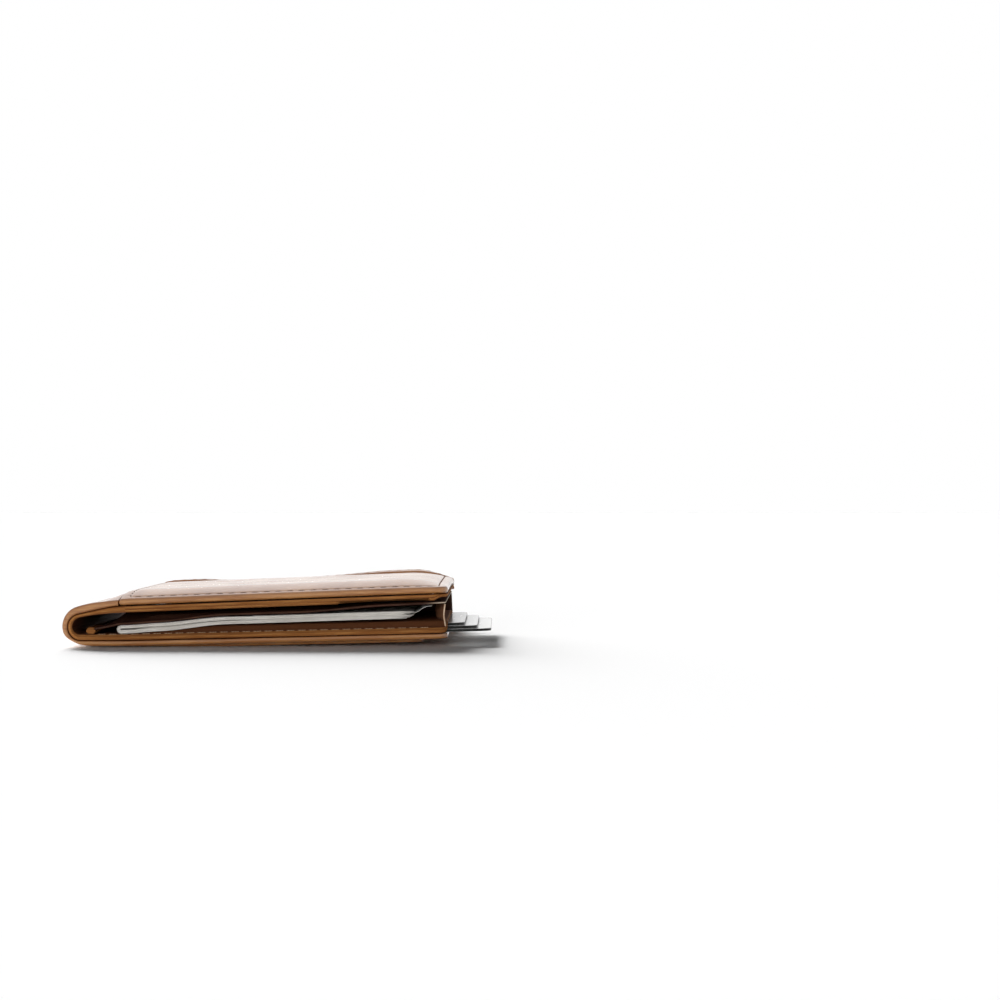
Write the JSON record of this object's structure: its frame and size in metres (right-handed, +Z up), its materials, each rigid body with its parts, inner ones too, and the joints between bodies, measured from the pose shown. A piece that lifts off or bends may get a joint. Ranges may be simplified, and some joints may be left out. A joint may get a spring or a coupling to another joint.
{
  "type": "bifold wallet",
  "caption": "Slim tan leather bifold wallet, folded shut, with a card pocket open at its free end, a sleeve for folded notes and a notched card slot.",
  "frame": {"origin": "on the table under the wallet, in the middle of the leather's length and depth", "axes": "+X from the fold to the free ends, +Y from the open near edge to the far edge, +Z up through the closed wallet"},
  "size_m": [0.1202, 0.084, 0.0191],
  "materials": {
    "tan_leather": "smooth, semi-gloss",
    "brown_leather": "thin, matt",
    "white_card": "smooth",
    "dark_card": "smooth",
    "paper": "uncoated"
  },
  "bodies": {
    "lower_half": {"lower_cover": "tan_leather", "back_panel": "tan_leather", "lower_lining": "tan_leather", "note_sleeve": "brown_leather", "sleeve_gusset": "brown_leather"},
    "spine": {"spine_cover": "tan_leather", "spine_lining": "tan_leather"},
    "upper_half": {"upper_cover": "tan_leather", "front_panel": "tan_leather", "upper_lining": "tan_leather"},
    "bottom_card": {"bottom_card": "white_card"},
    "middle_card": {"middle_card": "white_card"},
    "top_card": {"top_card": "white_card"},
    "slot_card": {"slot_card": "dark_card"},
    "folded_notes": {"outer_note": "paper", "inner_note": "paper"}
  },
  "joints": [
    {"name": "lower_fold", "type": "hinge", "parent": "lower_half", "child": "spine", "pos_m": [-0.05226, 0, 0.00183], "axis": [0, -1, 0], "range_deg": [0, 85]},
    {"name": "upper_fold", "type": "hinge", "parent": "spine", "child": "upper_half", "pos_m": [-0.05299, 0, 0.00884], "axis": [0, -1, 0], "range_deg": [0, 85]},
    {"name": "bottom_card_slide", "type": "slide", "parent": "lower_half", "child": "bottom_card", "axis": [0.9997, 0, 0.0227], "range_m": [-0.0075, 0.075]},
    {"name": "middle_card_slide", "type": "slide", "parent": "lower_half", "child": "middle_card", "axis": [0.9997, 0, 0.0227], "range_m": [-0.0036, 0.079]},
    {"name": "top_card_slide", "type": "slide", "parent": "lower_half", "child": "top_card", "axis": [0.9997, 0, 0.0227], "range_m": [0, 0.0825]},
    {"name": "slot_card_slide", "type": "slide", "parent": "upper_half", "child": "slot_card", "axis": [0, -1, 0], "range_m": [0, 0.058]},
    {"name": "notes_slide", "type": "slide", "parent": "lower_half", "child": "folded_notes", "axis": [0, -1, 0], "range_m": [0, 0.07]}
  ],
  "couplings": [
    {"joint": "lower_fold", "follows": "upper_fold", "ratio": 1}
  ]
}
